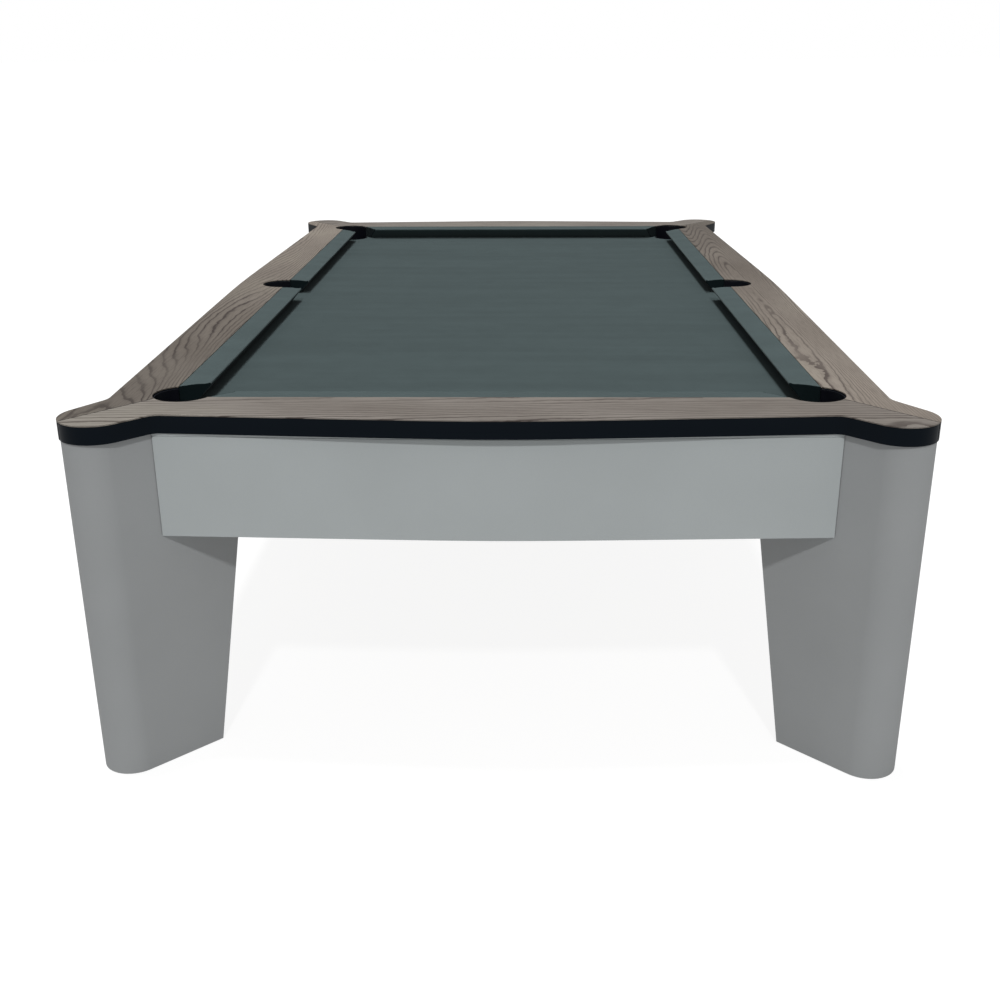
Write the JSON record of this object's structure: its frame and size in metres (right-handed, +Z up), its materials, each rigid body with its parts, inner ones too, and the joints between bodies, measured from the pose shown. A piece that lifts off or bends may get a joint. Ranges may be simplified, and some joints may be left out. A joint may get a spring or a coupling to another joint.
{
  "type": "pool table",
  "caption": "Drop-pocket pool table with slate bed, cloth cushions, bulging veneered rails with round corner lobes, flat painted aprons, diagonal blade legs and screw feet",
  "frame": {"origin": "on the floor, under the centre of the table", "axes": "+Z up, +Y along the table's length, +X across it"},
  "size_m": [1.75, 3.082, 0.795],
  "materials": {
    "oak_veneer": "satin open-grain oak veneer, grey-brown",
    "black_lacquer": "satin black lacquer on the rail edge",
    "silver_paint": "satin silver-grey paint on board",
    "green_cloth": "napped worsted billiard cloth, dark grey-green",
    "slate": "honed slate",
    "beech": "raw beech",
    "pine": "raw pine",
    "black_plastic": "matt black moulded plastic",
    "steel": "zinc-plated steel"
  },
  "bodies": {
    "table": {"rail_cap_near": "oak_veneer", "rail_core_near": "black_lacquer", "apron_near": "silver_paint", "slate_liner_near": "beech", "rail_cap_far": "oak_veneer", "rail_core_far": "black_lacquer", "apron_far": "silver_paint", "slate_liner_far": "beech", "rail_cap_left": "oak_veneer", "rail_core_left": "black_lacquer", "apron_left": "silver_paint", "slate_liner_left": "beech", "rail_cap_right": "oak_veneer", "rail_core_right": "black_lacquer", "apron_right": "silver_paint", "slate_liner_right": "beech", "cushion_near": "green_cloth", "feather_strip_near": "beech", "cushion_far": "green_cloth", "feather_strip_far": "beech", "cushion_left_near": "green_cloth", "feather_strip_left_near": "beech", "cushion_left_far": "green_cloth", "feather_strip_left_far": "beech", "cushion_right_near": "green_cloth", "feather_strip_right_near": "beech", "cushion_right_far": "green_cloth", "feather_strip_right_far": "beech", "bed_cloth": "green_cloth", "slate_near": "slate", "slate_middle": "slate", "slate_far": "slate", "pocket_cup_near_left": "black_plastic", "pocket_cup_near_right": "black_plastic", "pocket_cup_far_left": "black_plastic", "pocket_cup_far_right": "black_plastic", "pocket_cup_middle_left": "black_plastic", "pocket_cup_middle_right": "black_plastic", "leg_near_left": "silver_paint", "corner_bracket_near_left": "pine", "leg_near_right": "silver_paint", "corner_bracket_near_right": "pine", "leg_far_left": "silver_paint", "corner_bracket_far_left": "pine", "leg_far_right": "silver_paint", "corner_bracket_far_right": "pine", "long_beam_left": "pine", "long_beam_right": "pine", "end_beam_near": "pine", "end_beam_far": "pine", "cross_beam_near": "pine", "cross_beam_far": "pine"},
    "foot_near_left": {"foot_pad_near_left": "black_plastic", "foot_stud_near_left": "steel"},
    "foot_near_right": {"foot_pad_near_right": "black_plastic", "foot_stud_near_right": "steel"},
    "foot_far_left": {"foot_pad_far_left": "black_plastic", "foot_stud_far_left": "steel"},
    "foot_far_right": {"foot_pad_far_right": "black_plastic", "foot_stud_far_right": "steel"}
  },
  "joints": [
    {"name": "foot_screw_near_left", "type": "slide", "parent": "table", "child": "foot_near_left", "axis": [0, 0, -1], "range_m": [0, 0.025]},
    {"name": "foot_screw_near_right", "type": "slide", "parent": "table", "child": "foot_near_right", "axis": [0, 0, -1], "range_m": [0, 0.025]},
    {"name": "foot_screw_far_left", "type": "slide", "parent": "table", "child": "foot_far_left", "axis": [0, 0, -1], "range_m": [0, 0.025]},
    {"name": "foot_screw_far_right", "type": "slide", "parent": "table", "child": "foot_far_right", "axis": [0, 0, -1], "range_m": [0, 0.025]}
  ]
}
